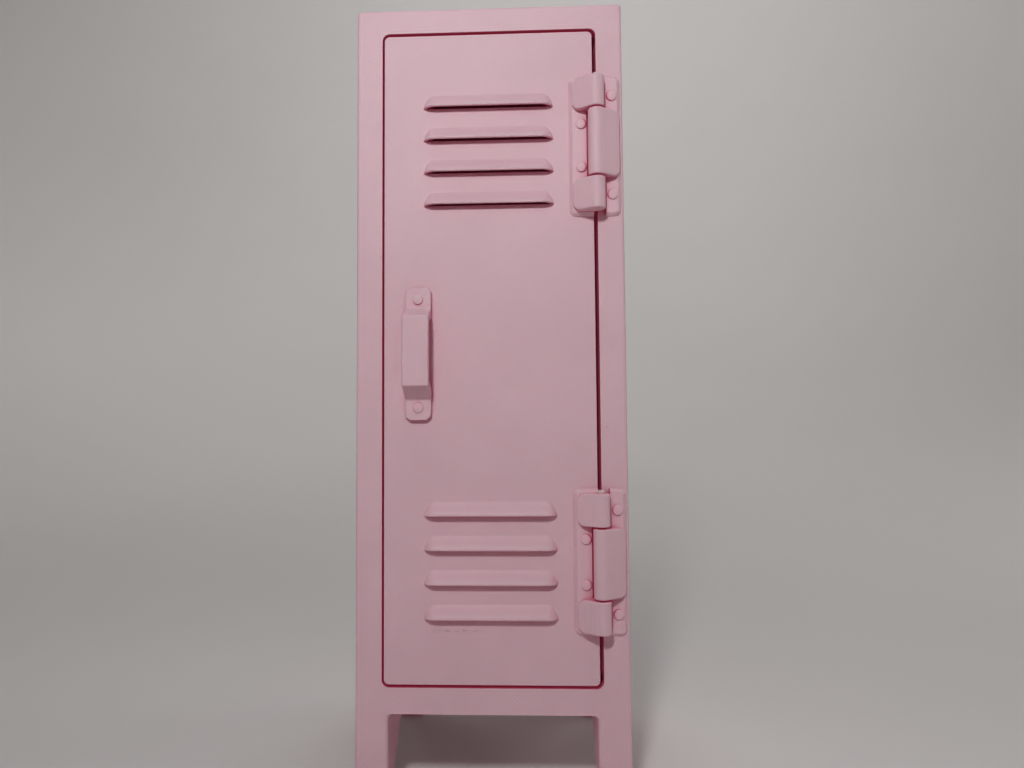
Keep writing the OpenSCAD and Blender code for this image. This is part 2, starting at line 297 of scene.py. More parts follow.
def finish_piece(piece, material, body, nodes):
    """Shades the piece, gives it its material and ties it to the frame."""
    piece.data.shade_smooth()
    piece.data.set_sharp_from_angle(angle=radians(SHARP))
    modifier = piece.modifiers.new("even_normals", "WEIGHTED_NORMAL")
    modifier.keep_sharp = True
    modifier.weight = 100
    apply_modifiers(piece)
    piece.data.materials.clear()
    piece.data.materials.append(material)
    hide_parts(*nodes)
    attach(piece, body)
    return piece


# ---------------------------------------------------------------- materials


class Graph:
    """Short calls for building one material's nodes."""

    def __init__(self, name):
        self.material = bpy.data.materials.new(name)
        self.material.use_nodes = True
        self.tree = self.material.node_tree
        self.tree.nodes.clear()

    def node(self, kind, inputs=None, **settings):
        made = self.tree.nodes.new(kind)
        for key, value in settings.items():
            setattr(made, key, value)
        for key, value in (inputs or {}).items():
            self.put(made.inputs[key], value)
        return made

    def put(self, socket, value):
        if isinstance(value, bpy.types.NodeSocket):
            self.tree.links.new(value, socket)
        else:
            socket.default_value = value

    def math(self, operation, *values):
        """The result of a Math node."""
        made = self.tree.nodes.new("ShaderNodeMath")
        made.operation = operation
        for socket, value in zip(made.inputs, values):
            self.put(socket, value)
        return made.outputs[0]

    def smooth(self, value, low, high):
        """0 at low and below, 1 at high and above, with a soft step between."""
        made = self.node(
            "ShaderNodeMapRange",
            {"Value": value, "From Min": low, "From Max": high},
            interpolation_type="SMOOTHSTEP",
        )
        return made.outputs[0]

    def noise(self, vector, scale, detail=2.0, roughness=0.5):
        """Smooth random values from 0 to 1, scale of them to each unit of length."""
        made = self.node(
            "ShaderNodeTexNoise",
            {"Vector": vector, "Scale": scale, "Detail": detail, "Roughness": roughness},
        )
        return made.outputs[0]

    def blend(self, factor, a, b):
        """Number a where factor is 0, number b where it is 1."""
        return self.node("ShaderNodeMix", {"Factor": factor, "A": a, "B": b}).outputs[0]

    def mix(self, factor, a, b, how="MIX"):
        """The same for colours, mixed or multiplied."""
        made = self.node("ShaderNodeMix", data_type="RGBA", blend_type=how)
        self.put(made.inputs["Factor"], factor)
        self.put(made.inputs["A"], a)
        self.put(made.inputs["B"], b)
        return made.outputs["Result"]

    def vector(self, x=0.0, y=0.0, z=0.0):
        return self.node("ShaderNodeCombineXYZ", {0: x, 1: y, 2: z}).outputs[0]

    def finish(self, shader):
        """Makes the shader the material's surface."""
        output = self.node("ShaderNodeOutputMaterial")
        self.tree.links.new(shader.outputs[0], output.inputs[0])
        return self.material


LINE_W = 0.42            # width of one printed line
LAYER_H = 0.2            # height of one printed layer; the layers lie parallel to the front
WALL_LINES = 2           # printed lines that follow an outline before the diagonal filling
RELIEF_H = 0.02          # height of the printed lines in the bump
PAINTED_SHADE = (0.5, 0.12, 0.2)  # painted shade: how much of each colour is left in the deepest gaps
PAINTED_SHADE_FROM = 0.62         # share of open sky at which the painted shade starts
PAINTED_SHADE_TO = 0.3            # and at which the painted shade is darkest
SKY_REACH = 3            # how far away another surface still hides the sky
# Painted glow: a red emission that makes the shade and the door gap's walls look lit red.
PAINTED_GLOW_COLOUR = (0.85, 0.12, 0.25)
PAINTED_GLOW = 0.042             # painted glow on every surface
PAINTED_GLOW_IN_SHADE = 0.05     # more painted glow where the sky is hidden, in the shade


def beads(g, position, pitch):
    """Height from 0 in the groove between two printed lines to 1 on a line's crest."""
    return g.math("ABSOLUTE", g.math("SINE", g.math("MULTIPLY", position, pi / pitch)))


def box_distance(g, x, z, low, high):
    """Distance inwards from the nearest side of a box in x and z; below 0 outside it."""
    return g.math(
        "MINIMUM",
        g.math("MINIMUM", g.math("SUBTRACT", x, low[0]), g.math("SUBTRACT", high[0], x)),
        g.math("MINIMUM", g.math("SUBTRACT", z, low[1]), g.math("SUBTRACT", high[1], z)),
    )


def skin_lines(g, place, x, z, outline, opening, strength):
    """Lines of a front skin: diagonal filling that wavers and fades in patches, with
    WALL_LINES lines along the piece's outline and round its opening."""
    waver = g.math("MULTIPLY", g.noise(place, 0.35, 3), 0.25)
    diagonal = g.math("MULTIPLY", g.math("SUBTRACT", x, z), sqrt(0.5))
    lines = beads(g, g.math("ADD", diagonal, waver), LINE_W)
    if outline:
        rim = box_distance(g, x, z, *outline)
        if opening:
            inner = g.math("MULTIPLY", box_distance(g, x, z, *opening), -1.0)
            rim = g.math("MINIMUM", rim, inner)
        on_rim = g.math("LESS_THAN", rim, WALL_LINES * LINE_W)
        lines = g.blend(on_rim, lines, beads(g, rim, LINE_W))
    patches = g.smooth(g.noise(place, 0.09, 2), 0.42, 0.62)
    faded = 0.35
    level = g.math("MULTIPLY_ADD", patches, (1 - faded) * strength, faded * strength)
    return g.math("MULTIPLY", lines, level)


def layer_lines(g, y, strength):
    """Lines of the printed layers, some of them stronger than others."""
    uneven = g.noise(g.vector(y=g.math("MULTIPLY", y, 3.0)), 1.0)
    level = g.math("MULTIPLY", g.smooth(uneven, 0.3, 0.7), strength)
    return g.math("MULTIPLY", beads(g, y, LAYER_H), level)


def darkened(g, shade, where, amount):
    """The shade, less the given share of it where the mask is 1."""
    return g.math("MULTIPLY", shade, g.math("MULTIPLY_ADD", where, -amount, 1.0))


def uneven_shade(g, place, x, z, lines, scuffs):
    """Brightness of the plastic: a slow drift, darker grooves, small specks, and scuffs that
    are drawn out along x inside their boxes."""
    shade = g.math("MULTIPLY_ADD", g.noise(place, 0.06, 2), 0.10, 0.93)
    shade = g.math("MULTIPLY", shade, g.math("MULTIPLY_ADD", lines, 0.05, 0.965))
    shade = darkened(g, shade, g.smooth(g.noise(place, 1.6, 1), 0.79, 0.83), 0.12)
    for low, high in scuffs:
        inside = g.smooth(box_distance(g, x, z, low, high), 0.0, 0.35)
        drawn_out = g.vector(x=g.math("MULTIPLY", x, 1.2), z=g.math("MULTIPLY", z, 7.0))
        hairs = g.smooth(g.noise(drawn_out, 1.0, 3), 0.45, 0.62)
        shade = darkened(g, shade, g.math("MULTIPLY", inside, hairs), 0.2)
    return shade


def painted_glow_strength(g, x, z, facing, open_sky, opening, painted_glow_scale, gap_glow):
    """Strength of the painted red glow: a trace everywhere, more in the shade, and more on the
    walls of the narrow gap round an opening."""
    strength = g.math(
        "MULTIPLY_ADD", open_sky, -PAINTED_GLOW_IN_SHADE * painted_glow_scale, (PAINTED_GLOW + PAINTED_GLOW_IN_SHADE) * painted_glow_scale
    )
    if gap_glow:
        reach = 0.15
        wall = g.math("LESS_THAN", g.math("ABSOLUTE", facing), 0.3)
        inside = g.math("GREATER_THAN", box_distance(g, x, z, *opening), -reach)
        in_gap = g.math("MULTIPLY", wall, inside)
        strength = g.math("MULTIPLY_ADD", in_gap, gap_glow, strength)
    return strength


def printed_plastic(name, colour, outline=None, opening=None, skin=1.0, layers=1.0, scuffs=(),
                    gap_glow=0.0, painted_glow_scale=1.0, tint=1.0):
    """Matte printed plastic. outline and opening are boxes in x and z that the skin's lines
    follow. skin and layers are the heights of the two kinds of line; the last three arguments
    are the amounts of painted red glow on the door gap's walls, of painted red glow in the
    shade and of painted dark red shade in gaps."""
    g = Graph(name)
    coordinates = g.node("ShaderNodeTexCoord")
    place = g.node(
        "ShaderNodeVectorMath", {0: coordinates.outputs["Object"], "Scale": 1 / MM},
        operation="SCALE",
    ).outputs[0]
    x, y, z = g.node("ShaderNodeSeparateXYZ", {0: place}).outputs
    facing = g.node("ShaderNodeSeparateXYZ", {0: coordinates.outputs["Normal"]}).outputs[1]
    on_skin = g.smooth(g.math("ABSOLUTE", facing), 0.93, 0.99)
    lines = g.blend(
        on_skin, layer_lines(g, y, layers), skin_lines(g, place, x, z, outline, opening, skin)
    )
    grain = g.noise(place, 5.0, 3, 0.6)
    height = g.math("MULTIPLY_ADD", grain, 0.35, lines)

    shade = uneven_shade(g, place, x, z, lines, scuffs)
    paint = g.mix(1.0, (*colour, 1), g.vector(shade, shade, shade), "MULTIPLY")

    # Painted shade: where little open sky is seen, in gaps and under edges, the base colour turns
    # dark red.
    open_sky = g.node(
        "ShaderNodeAmbientOcclusion", {"Distance": SKY_REACH * MM}, samples=6
    ).outputs["AO"]
    deep = g.math("MULTIPLY", g.smooth(open_sky, PAINTED_SHADE_FROM, PAINTED_SHADE_TO), tint)
    with_painted_shade = g.mix(deep, paint, (*(c * d for c, d in zip(colour, PAINTED_SHADE)), 1))

    bump = g.node(
        "ShaderNodeBump", {"Height": height, "Strength": 0.55, "Distance": RELIEF_H * MM}
    )
    # Painted glow: red emission, strongest in the shade and on the walls of the door gap.
    light = painted_glow_strength(g, x, z, facing, open_sky, opening, painted_glow_scale, gap_glow)
    shader = g.node(
        "ShaderNodeBsdfPrincipled",
        {
            "Base Color": with_painted_shade,
            "Roughness": g.math("MULTIPLY_ADD", grain, 0.18, 0.46),
            "Normal": bump.outputs[0],
            "Emission Strength": light,
            "Emission Color": (*PAINTED_GLOW_COLOUR, 1),
            "Specular IOR Level": 0.35,
            "Subsurface Weight": 0.15,
            "Subsurface Radius": (1.0, 0.4, 0.5),
            "Subsurface Scale": 0.3 * MM,
        },
    )
    return g.finish(shader)


def worn_metal(name, colour, roughness):
    """Plated metal with fine scratches."""
    g = Graph(name)
    place = g.node("ShaderNodeTexCoord").outputs["Object"]
    scratches = g.noise(place, 4000, 4, 0.7)
    bump = g.node("ShaderNodeBump", {"Height": scratches, "Strength": 0.2, "Distance": 0.01 * MM})
    dull = g.math("MULTIPLY_ADD", scratches, 0.2, roughness)
    tint = g.mix(g.noise(place, 700, 2), (*colour, 1), (*(c * 0.82 for c in colour), 1))
    shader = g.node(
        "ShaderNodeBsdfPrincipled",
        {"Base Color": tint, "Roughness": dull, "Normal": bump.outputs[0], "Metallic": 1.0},
    )
    return g.finish(shader)


PINK = (0.70, 0.55, 0.594)
OFF_WHITE = (0.66, 0.60, 0.585)
STEEL = (0.62, 0.62, 0.64)
opening_low = (-HALF_W + STILE_W, BODY_Z + RAIL_H)
opening_high = (HALF_W - STILE_W, body_high.z - RAIL_H)
door_face = ((door_low.x, door_low.z), (door_high.x, door_high.z))

# The scuff lies just under the lowest louvre, left of its middle.
SCUFF_LEFT = -8.4
SCUFF_RIGHT = -0.6
SCUFF_HALF_H = 0.35
scuff_z = BODY_Z + 11.3

# The lines along the frame's sides run on down the legs, and none goes across their feet.
PAST_FEET = 7
# Each plastic sets its own amounts of painted red glow and of painted dark red shade in gaps.
case_plastic = printed_plastic("case_plastic", PINK, skin=0.7, painted_glow_scale=0.2)
frame_plastic = printed_plastic(
    "frame_plastic", PINK,
    outline=((body_low.x, -PAST_FEET), (body_high.x, body_high.z)),
    opening=(opening_low, opening_high), gap_glow=0.025,
)
door_plastic = printed_plastic(
    "door_plastic", PINK, outline=door_face, skin=0.6,
    scuffs=[((SCUFF_LEFT, scuff_z - SCUFF_HALF_H), (SCUFF_RIGHT, scuff_z + SCUFF_HALF_H))],
)
hinge_plastic = printed_plastic("hinge_plastic", PINK, skin=0.5, layers=0.9, tint=0.6)
trim_plastic = printed_plastic("trim_plastic", PINK, skin=0.5)
pin_plastic = printed_plastic("pin_plastic", OFF_WHITE, skin=0.0, layers=0.2)
magnet_metal = worn_metal("magnet_metal", STEEL, 0.25)

# ---------------------------------------------------------------- cabinet body


def frame_piece():
    """The face frame: rings run round its section, from the back over the front and back.
    The outline runs on below the frame and is cut off flat where the legs begin."""
    below = 3
    outer = rounded_rect(
        body_low.x, body_high.x, body_low.z - below, body_high.z, [FRAME_EDGE] * 4
    )
    inner = rounded_rect(
        opening_low[0], opening_high[0], opening_low[1], opening_high[1], [OPENING_R] * 4
    )
    back = FRONT + FRAME_T
    rings = [(back, outer)]
    for depth, move in edge_steps(OUTER_EDGE):
        rings.append((FRONT + depth, inset(outer, move)))
    for depth, move in reversed(edge_steps(SEAM_EDGE)):
        rings.append((FRONT + depth, inset(inner, move - SEAM_EDGE) if move else inner))
    rings.append((back, inner))
    bm = bmesh.new()
    loft(bm, [[(p.x, y, max(p.y, body_low.z)) for p in ring] for y, ring in rings], closed=True)
    frame_ring = mesh_object("face_frame_printed", bm)
    weld = 0.5
    low = (opening_high[0], body_low.y + weld, opening_low[1] + OPENING_R)
    high = (opening_high[0] + RETURN_T, body_high.y, opening_high[1] - OPENING_R)
    return boolean(frame_ring, [mesh_object("return_tool", panel(low, high, 0))], "UNION")


def corner_test(sign_x, sign_y, sign_z, low, high):
    """Picks box edges that lie on the named sides: signs are -1, 0 (any) or 1."""

    def test(edge):
        for k, sign in enumerate((sign_x, sign_y, sign_z)):
            side = high[k] if sign > 0 else low[k]
            if sign and any(abs(v.co[k] - side) > 1e-6 for v in edge.verts):
                return False
        return True

    return test


def body_panels():
    """Side walls, top, floor and back, rounded where they form the outer corners."""
    corners = {
        "left_wall": [(-1, 0, 1)],
        "right_wall": [(1, 0, 1)],
        "top_panel": [],
        "floor_panel": [],
        "back_panel": [(-1, 1, 0), (1, 1, 0), (0, 1, 1)],
    }
    for node, signs in corners.items():
        low, high = box_mm(node)
        tests = [corner_test(*s, low, high) for s in signs]
        piece = mesh_object(f"{node}_printed", panel(low, high, OUTER_EDGE, tests))
        finish_piece(piece, case_plastic, "cabinet", [node])


def leg_piece(name, right, rear):
    """A leg as rounded cross-sections from the foot up to the body."""
    foot = 0.0
    top = BODY_Z
    heights = [foot + d for d, _ in reversed(edge_steps(SMALL_EDGE, 3))]
    narrow = top - (LEG_TOP_D - LEG_FOOT_D) / LEG_TAPER
    near = 0.3
    heights += [narrow - near, narrow, narrow + near]
    steps = 5
    heights += [top - LEG_FILLET * (1 - sin(k / steps * pi / 2)) for k in range(steps + 1)]
    side = 1 if right else -1
    rings = []
    for height in heights:
        bend = max(0.0, LEG_FILLET - (top - height))
        fillet = LEG_FILLET - sqrt(LEG_FILLET**2 - bend**2)
        depth = LEG_FOOT_D + max(0.0, height - narrow) * LEG_TAPER
        low_in = max(0.0, SMALL_EDGE - (height - foot))
        shrink = SMALL_EDGE - sqrt(SMALL_EDGE**2 - low_in**2)
        ring = rounded_rect(
            0, LEG_W + fillet, 0, depth, (OUTER_EDGE, FRAME_EDGE, SMALL_EDGE, SMALL_EDGE)
        )
        ring = inset(ring, shrink)
        y_edge = back_high.y if rear else FRONT
        y_way = -1 if rear else 1
        rings.append([(side * (HALF_W - p.x), y_edge + y_way * p.y, height) for p in ring])
    bm = bmesh.new()
    loft(bm, rings)
    return mesh_object(name, bm)


finish_piece(frame_piece(), frame_plastic, "cabinet", ["face_frame"])
body_panels()
for end in ("front", "rear"):
    for hand in ("left", "right"):
        leg_name = f"{end}_{hand}_leg"
        leg = leg_piece(f"{leg_name}_printed", hand == "right", end == "rear")
        finish_piece(leg, frame_plastic, "cabinet", [leg_name])

# ---------------------------------------------------------------- inside the cabinet

shelf_low, shelf_high = box_mm("shelf")
shelf = mesh_object(
    "shelf_printed",
    panel(shelf_low, shelf_high, PANEL_EDGE, [
        corner_test(0, -1, 1, shelf_low, shelf_high),
        corner_test(0, -1, -1, shelf_low, shelf_high),
    ]),
)
finish_piece(shelf, case_plastic, "cabinet", ["shelf"])

ledge_low, ledge_high = box_mm("shelf_ledges")
LEDGE = ledge_high.z - ledge_low.z
LEDGE_FOOT = 0.3 * LEDGE
LEDGE_NOSE = 0.5 * LEDGE
profile = [(0, ledge_high.z), (0, ledge_low.z), (LEDGE_FOOT, ledge_low.z),
           (LEDGE, ledge_high.z - LEDGE_NOSE), (LEDGE, ledge_high.z)]
ends = (ledge_low.y, ledge_high.y)
ledges = bmesh.new()
for inner_side, way in ((ledge_low.x, 1), (ledge_high.x, -1)):
    loft(ledges, [[(inner_side + way * px, y, pz) for px, pz in profile] for y in ends])
finish_piece(mesh_object("shelf_ledges_printed", ledges), case_plastic, "cabinet",
             ["shelf_ledges"])

for magnet, body in (("frame_magnet", "cabinet"), ("door_magnet", "door")):
    low, high = box_mm(magnet)
    radius = (high.x - low.x) / 2
    chamfer = 0.1
    length = high.y - low.y
    profile = [(0, radius - chamfer), (chamfer, radius), (length - chamfer, radius),
               (length, radius - chamfer)]
    disc = turned(profile, low.x + radius, high.y, low.z + radius, "y")
    finish_piece(mesh_object(f"{magnet}_disc", disc), magnet_metal, body, [magnet])

stop = frame["nodes"]["door_stop"]
stop.data.materials.clear()
stop.data.materials.append(case_plastic)

# ---------------------------------------------------------------- door


def hood_sections(profile, tip, corner, keep_below):
    """Sections of a louvre along x: full size between the corners, shrinking to the tips.
    Points behind the door's front keep their place, and so can points below the lip."""
    steps = 7
    pointed = 1.4        # 1 gives round ends
    smallest = 0.04
    spans = []
    for k in range(steps + 1):
        turn = k / steps * pi / 2
        size = max(smallest, sin(turn) ** pointed)
        spans.append((tip - (tip - corner) * (1 - cos(turn)), size))
    spans = [(-x, size) for x, size in spans] + [(x, size) for x, size in reversed(spans)]
    return [
        [(x, y if y > 0 else y * size, z if keep_below and z < 0 else z * size)
         for y, z in profile]
        for x, size in spans
    ]


def louvre(lip_z, hollow):
    """The outside of a hood, or the air way inside it."""
    slope = (HOOD_RISE - LIP_H) / HOOD_OUT
    if hollow:
        out = HOOD_OUT - HOOD_T
        top = HOOD_RISE - HOOD_T * sqrt(1 + slope * slope)
        deep = DOOR_BACK - FRONT + 1
        below = 0.5
        profile = [(-out, -below), (0, -below), (0, 0), (deep, 0), (deep, top), (0, top),
                   (-out, top - out * slope)]
        rings = hood_sections(profile, HOOD_TIP - TIP_WALL, HOOD_CORNER - CORNER_WALL, True)
    else:
        root = 0.3           # how far the hood goes into the door
        fade = 0.45          # how much higher its soft upper edge starts
        lip_edge = 0.08
        profile = [(root, 0), (root, HOOD_RISE + fade)]
        steps = 12
        for k in range(steps + 1):
            share = k / steps
            height = LIP_H + (HOOD_RISE + fade - LIP_H) * (1 - share)
            curve = 0.5 * share + 0.5 * (1 - cos(pi * share)) / 2
            profile.append((-HOOD_OUT * curve, height))
        profile += [(-HOOD_OUT, lip_edge), (-HOOD_OUT + lip_edge, 0)]
        rings = hood_sections(profile, HOOD_TIP, HOOD_CORNER, False)
    middle = (door_low.x + door_high.x) / 2
    bm = bmesh.new()
    loft(bm, [[(middle + x, FRONT + y, lip_z + z) for x, y, z in ring] for ring in rings])
    return mesh_object("louvre_tool", bm)


def door_piece():
    """The door: a plate with the hoods joined on and their air ways cut out."""
    outline = rounded_rect(door_low.x, door_high.x, door_low.z, door_high.z, [DOOR_R] * 4)
    plain = plate(outline, DOOR_BACK, FRONT, SEAM_EDGE, SEAM_EDGE)
    piece = mesh_object("door_panel_printed", plain)
    lips = [
        BODY_Z + low + i * LOUVRE_PITCH for low in LOUVRE_LIPS for i in range(LOUVRE_COUNT)
    ]
    boolean(piece, [louvre(z, False) for z in lips], "UNION")
    boolean(piece, [louvre(z, True) for z in lips], "DIFFERENCE")
    return piece


finish_piece(door_piece(), door_plastic, "door", ["door_panel"])

# ---------------------------------------------------------------- handle


# Uneven left edge of the handle: height, middle above the handle's own, reach each way.
LEFT_HUMPS = ((0.14, -1.6, 1.1), (0.08, 2.4, 1.5))


def hump(value, centre, spread):
    """A smooth hump, 1 at the centre and 0 beyond spread."""
    away = abs(value - centre) / spread
    return (1 + cos(pi * away)) / 2 if away < 1 else 0.0


def stations(points, radii, per_turn=5, per_side=6):
    """Points along an open bent line: per_side on each straight and per_turn round each bend.
    Two lines with the same number of bends get the same number of stations."""
    line = []
    last = Vector(points[0])
    count = len(points)
    for i in range(1, count):
        corner = Vector(points[i])
        if i < count - 1:
            to_last = (Vector(points[i - 1]) - corner).normalized()
            to_next = (Vector(points[i + 1]) - corner).normalized()
            half = to_last.angle(to_next) / 2
            reach = radii[i] / tan(half)
            first = corner + to_last * reach
            after = corner + to_next * reach
            centre = corner + (to_last + to_next).normalized() * radii[i] / sin(half)
        else:
            first = corner
        for k in range(per_side):
            line.append(last.lerp(first, k / per_side))
        if i < count - 1:
            for k in range(per_turn):
                way = (first - centre).lerp(after - centre, k / per_turn)
                line.append(centre + way.normalized() * radii[i])
            last = after
    line.append(Vector(points[-1]))
    return line


def handle_piece():
    """A strap: its outer and inner lines share their stations, and a rounded section
    spans them at each station."""
    low, high = box_mm("handle")
    middle_x = (low.x + high.x) / 2
    middle_z = (low.z + high.z) / 2
    half_w = (high.x - low.x) / 2
    half_h = (high.z - low.z) / 2
    out = FRONT - low.y
    half_outer = [(FOOT_T, half_h), (FOOT_T, RISER_BASE), (out, GRIP_HALF)]
    half_inner = [(0, half_h), (0, RISER_BASE - INSET_BASE),
                  (out - GRIP_T, GRIP_HALF - INSET_GRIP)]
    outer_radii = (0, 0.35, 0.3)
    inner_radii = (0, 0.3, 0.25)
    back_edge = 0.3

    def whole(half, turns):
        foot_end, base, grip = half
        points = [foot_end, base, (grip[0], grip[1] + GRIP_RISE)]
        points += [(d, -z) for d, z in reversed(half)]
        return stations(points, turns + turns[::-1])

    rings = []
    for face, under in zip(whole(half_outer, outer_radii), whole(half_inner, inner_radii)):
        end = half_h - abs((face.y + under.y) / 2)
        narrow = max(0.0, FOOT_R - end)
        width = half_w - (FOOT_R - sqrt(FOOT_R**2 - narrow**2))
        swell = sum(height * hump(face.y, *where) for height, *where in LEFT_HUMPS)
        thick = (face - under).length
        section = rounded_rect(
            -width - swell, width, 0, thick, (SMALL_EDGE, SMALL_EDGE, back_edge, back_edge), 4
        )
        ring = []
        for p in section:
            at = under.lerp(face, p.y / thick)
            ring.append((middle_x + p.x, FRONT - at.x, middle_z + at.y))
        rings.append(ring)
    bm = bmesh.new()
    loft(bm, rings)
    return mesh_object("handle_printed", bm)


finish_piece(handle_piece(), trim_plastic, "door", ["handle"])

# ---------------------------------------------------------------- hinges


def gusset_line():
    """Where the gusset's slope touches the barrel, and its outer end, from the hinge axis."""
    end = Vector((-GUSSET_W, AXIS_OUT - LEAF_T - GUSSET_STEP))
    turn = atan2(end.y, end.x) + acos(KNUCKLE_R / end.length)
    touch = Vector((KNUCKLE_R * cos(turn), KNUCKLE_R * sin(turn)))
    return touch, end, turn


def knuckle_outline(reach, web_edge):
    """Section through a knuckle on the -x side, counter-clockwise, from the hinge axis."""
    touch, end, turn = gusset_line()
    slope = (end.y - touch.y) / (end.x - touch.x)
    tip = Vector((-reach, touch.y + slope * (-reach - touch.x)))
    floor_y = AXIS_OUT - LEAF_T / 2
    tip_r = 0.28
    steps = 18
    stop_turn = 2 * pi + radians(50)
    barrel = [turn + (stop_turn - turn) * k / steps for k in range(1, steps + 1)]
    outline = rounded([tuple(touch), (web_edge, floor_y), (-reach, floor_y), tuple(tip)],
                      (0, 0, 0, tip_r), 4)
    corner, rest = outline[0], outline[1:]
    return [corner] + [Vector((KNUCKLE_R * cos(a), KNUCKLE_R * sin(a))) for a in barrel] + rest


def knuckle(z0, z1, web_edge, mirrored, middle_z):
    """One knuckle with its gusset, its ends and the gusset's outer corners rounded."""
    edge = SMALL_EDGE
    near = [d for d, _ in reversed(edge_steps(edge, 3))]
    near += [GUSSET_R * share for share in (0.3, 0.45, 0.6, 0.8, 1.0)]
    heights = [z0 + d for d in near] + [z1 - d for d in reversed(near)]
    rings = []
    for height in heights:
        from_end = min(height - z0, z1 - height)
        bend = max(0.0, GUSSET_R - from_end)
        reach = GUSSET_W - (GUSSET_R - sqrt(GUSSET_R**2 - bend**2))
        dip = max(0.0, edge - from_end)
        shrink = edge - sqrt(edge**2 - dip**2)
        ring = inset(knuckle_outline(reach, web_edge), shrink)
        side = -1 if mirrored else 1
        rings.append([(AXIS_X + side * p.x, AXIS_Y + p.y, middle_z + height) for p in ring])
    bm = bmesh.new()
    loft(bm, rings)
    return mesh_object("knuckle_tool", bm)


# A leaf's sides: a short upright part and a slope. Height above the door, and way inwards.
LEAF_EDGE = ((0, 0), (0.12, 0), (LEAF_T - 0.03, 0.38), (LEAF_T, 0.48))


def leaf_plate(x_outer, x_edge, notch, middle_z, half_h):
    """A leaf from its outer end to its edge at the hinge, cut back or kept beside notch."""
    half_notch, x_notch = notch
    points = [(x_edge, -half_h), (x_edge, -half_notch), (x_notch, -half_notch),
              (x_notch, half_notch), (x_edge, half_notch), (x_edge, half_h),
              (x_outer, half_h), (x_outer, -half_h)]
    radii = [0, 0, 0, 0, 0, 0, LEAF_R, LEAF_R]
    outline = rounded([(AXIS_X + px, middle_z + pz) for px, pz in points], radii)
    area = sum(a.x * b.y - b.x * a.y for a, b in zip(outline, outline[1:] + outline[:1]))
    if area < 0:
        outline.reverse()
    far = AXIS_X + x_outer
    sloped = 1.5         # within this of the outer end, all sides slope
    tiny = 0.01
    rings = []
    for out, move in LEAF_EDGE:
        ring = []
        for start, moved in zip(outline, inset(outline, move)):
            by_hinge = abs(start.x - far) > sloped
            by_notch = by_hinge and abs(start.y - middle_z) < half_h - tiny
            at = (start.x if by_hinge else moved.x, start.y if by_notch else moved.y)
            ring.append((at[0], FRONT - out, at[1]))
        rings.append(ring)
    bm = bmesh.new()
    loft(bm, rings)
    return mesh_object("leaf_tool", bm)


def door_leaf_piece(level):
    """The leaf on the door, with the two end knuckles."""
    middle = hinge_heights[level]
    low, high = box_mm(f"{level}_door_leaf")
    door_edge = door_high.x - AXIS_X
    half_notch = MIDDLE_KNUCKLE / 2 + KNUCKLE_GAP
    half_h = (high.z - low.z) / 2
    leaf = leaf_plate(low.x - AXIS_X, door_edge, (half_notch, -RELIEF), middle, half_h)
    knuckles = [
        knuckle(half_notch, STACK_H / 2, door_edge, False, middle),
        knuckle(-STACK_H / 2, -half_notch, door_edge, False, middle),
    ]
    boolean(leaf, knuckles, "UNION")
    leaf.name = f"{level}_door_leaf_printed"
    return leaf


def frame_leaf_piece(level):
    """The leaf on the frame, with the middle knuckle, bored for the pin."""
    middle = hinge_heights[level]
    low, high = box_mm(f"{level}_frame_leaf")
    stile_edge = door_high.x + HINGE_GAP - AXIS_X
    half = MIDDLE_KNUCKLE / 2
    half_h = (high.z - low.z) / 2
    leaf = leaf_plate(high.x - AXIS_X, RELIEF, (half, stile_edge), middle, half_h)
    boolean(leaf, [knuckle(-half, half, -stile_edge, True, middle)], "UNION")
    over = 0.1
    bore_r = PIN_R + PIN_PLAY
    bore = turned([(0, bore_r), (2 * (half + over), bore_r)], AXIS_X, AXIS_Y,
                  middle - half - over, "z", sides=28)
    boolean(leaf, [mesh_object("bore_tool", bore)], "DIFFERENCE")
    leaf.name = f"{level}_frame_leaf_printed"
    return leaf


def pin_piece(level):
    """A rod with a chamfer below and a rounder upper end."""
    low, high = box_mm(f"{level}_hinge_pin")
    length = high.z - low.z
    chamfer = 0.14
    tiny = 0.03
    profile = [(-tiny, PIN_R - chamfer), (chamfer, PIN_R), (length - chamfer, PIN_R),
               (length - tiny, PIN_R - chamfer * 0.8), (length, PIN_R - chamfer * 1.6)]
    rod = turned(profile, AXIS_X, AXIS_Y, low.z, "z", sides=28)
    return mesh_object(f"{level}_hinge_pin_rod", rod)


def rivet_heads(name, places, seat):
    """Domed heads at (x, z) places, with their undersides a little inside the seat."""
    bm = bmesh.new()
    sink = 0.1
    rim = 0.08           # height of the head's upright side
    almost = 0.02        # what is left above the curve for the flat middle
    curve = 0.3
    flat_r = RIVET_R * 0.3
    steps = 5
    profile = [(-sink, RIVET_R), (rim, RIVET_R)]
    for k in range(1, steps + 1):
        a = k / steps * pi / 2
        height = rim + (RIVET_HEAD - rim - almost) * sin(a)
        profile.append((height, RIVET_R - curve * (1 - cos(a))))
    profile.append((RIVET_HEAD, flat_r))
    for x, z in places:
        head = turned(profile, x, seat, z, "y", sides=32)
        mesh = bpy.data.meshes.new("head_tool")
        head.to_mesh(mesh)
        head.free()
        bm.from_mesh(mesh)
        bpy.data.meshes.remove(mesh)
    return mesh_object(name, bm)


def rivet_places(node, paired):
    """The middles of the rivets in a column, upwards: one at each end of the group's box, or
    a pair on each hinge."""
    low, high = box_mm(node)
    x = (low.x + high.x) / 2
    first = low.z + RIVET_R
    last = high.z - RIVET_R
    if not paired:
        return [(x, first), (x, last)]
    lower = hinge_heights["lower"]
    upper = hinge_heights["upper"]
    return [(x, first), (x, 2 * lower - first), (x, 2 * upper - last), (x, last)]


